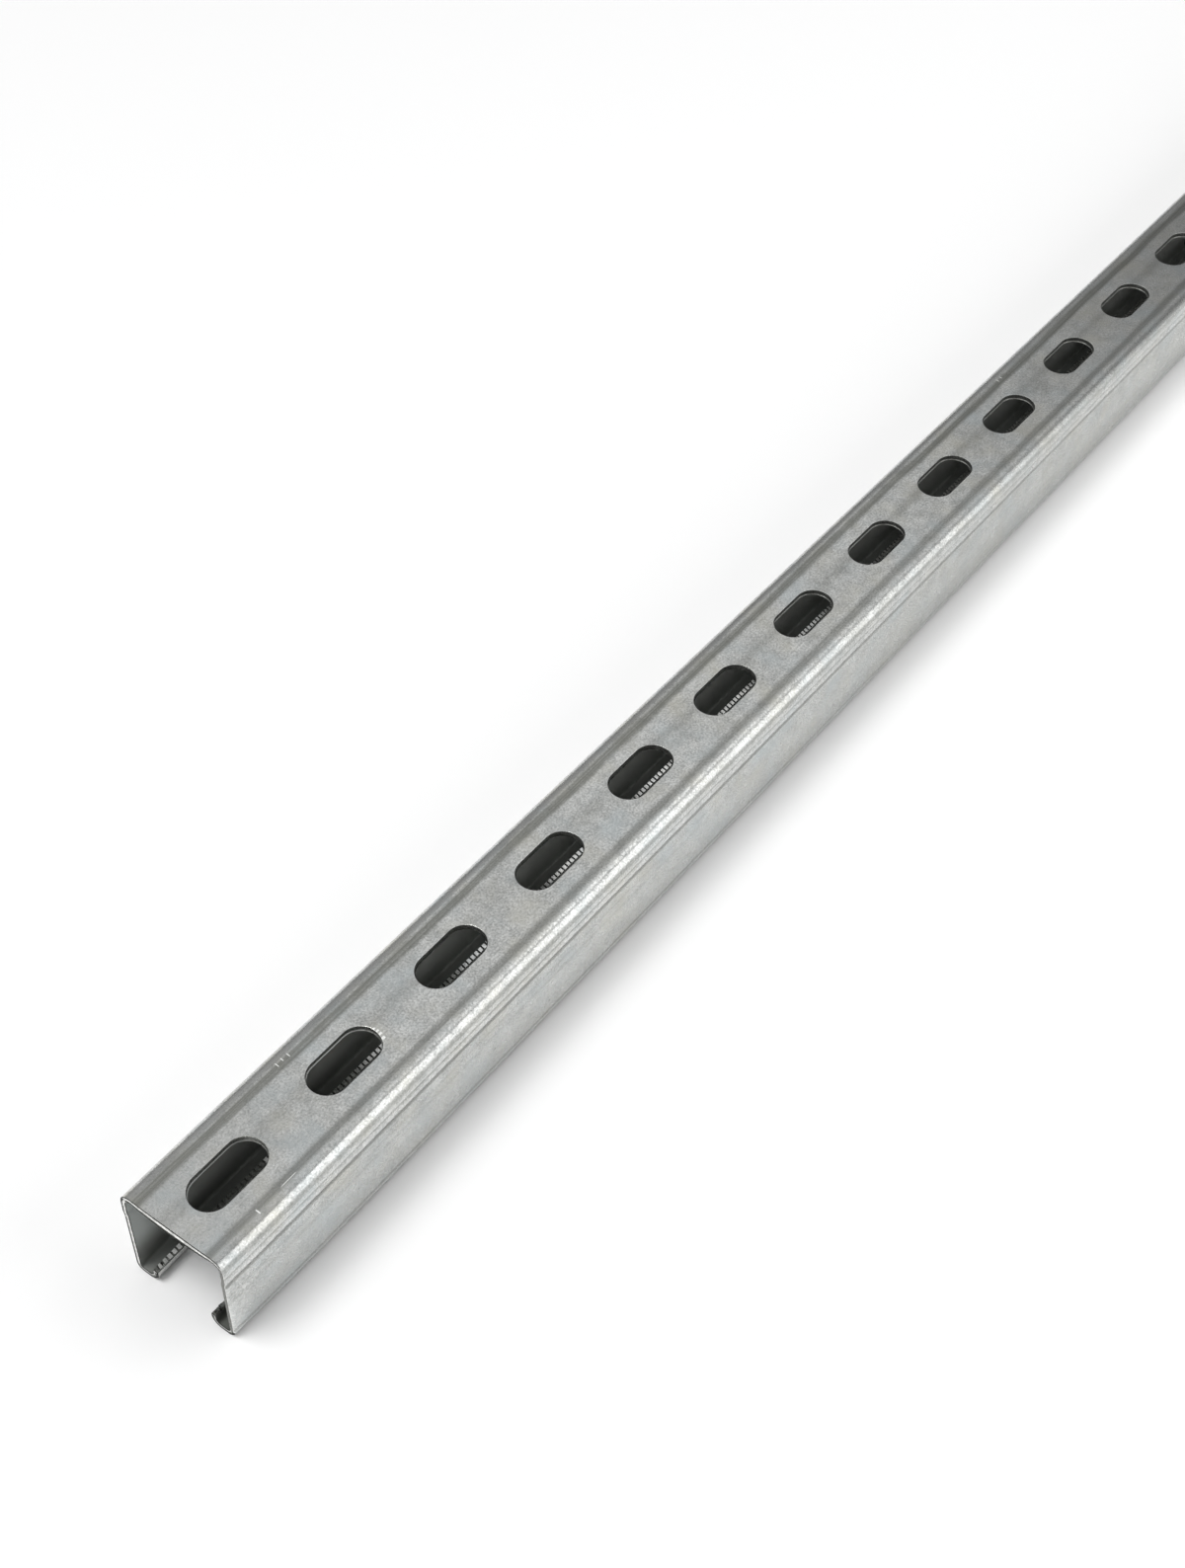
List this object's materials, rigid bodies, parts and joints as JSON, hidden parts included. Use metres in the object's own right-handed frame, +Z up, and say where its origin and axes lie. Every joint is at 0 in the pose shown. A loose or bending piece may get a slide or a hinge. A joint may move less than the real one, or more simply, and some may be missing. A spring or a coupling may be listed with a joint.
{
  "type": "slotted strut channel",
  "caption": "Lipped steel framing channel with a row of round-ended slots along its web, for bolting and clamping pipes, trays and brackets.",
  "frame": {"origin": "middle of the footprint on the floor, under the lips", "axes": "+X along the length, +Y across the width, +Z up through the slotted web"},
  "size_m": [1, 0.0412, 0.0413],
  "materials": {
    "galvanised_steel": "pre-galvanised strip, satin, with roll marks and fine scratches"
  },
  "bodies": {
    "root": {"strut_channel": "galvanised_steel"}
  },
  "joints": []
}
